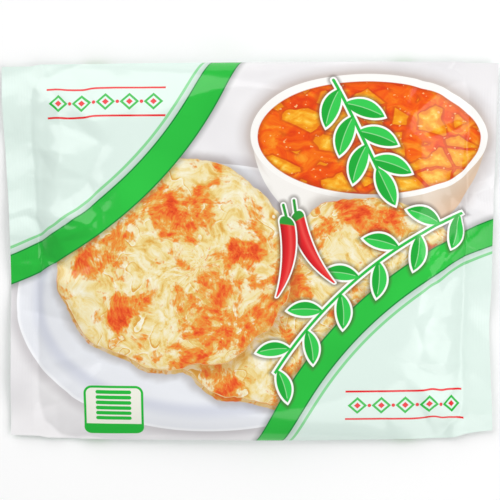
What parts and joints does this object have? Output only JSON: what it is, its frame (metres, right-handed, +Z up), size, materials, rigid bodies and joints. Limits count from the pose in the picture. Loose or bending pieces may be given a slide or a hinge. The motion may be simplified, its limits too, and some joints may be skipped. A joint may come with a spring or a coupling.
{
  "type": "sealed film pouch of frozen flatbreads",
  "caption": "Shut pillow pouch of printed plastic film lying flat, filled by a round stack of flatbreads, with a flat sealed fin at each end.",
  "frame": {"origin": "middle of the pack's underside box, on the table the pack rests on", "axes": "+X along the pack from the left fin to the right fin, +Y across the pack towards the top of its print, +Z up, out of the printed front"},
  "size_m": [0.2488, 0.1898, 0.017],
  "materials": {
    "printed_film": "satin"
  },
  "bodies": {
    "root": {"sealed_pouch": "printed_film"}
  },
  "joints": []
}
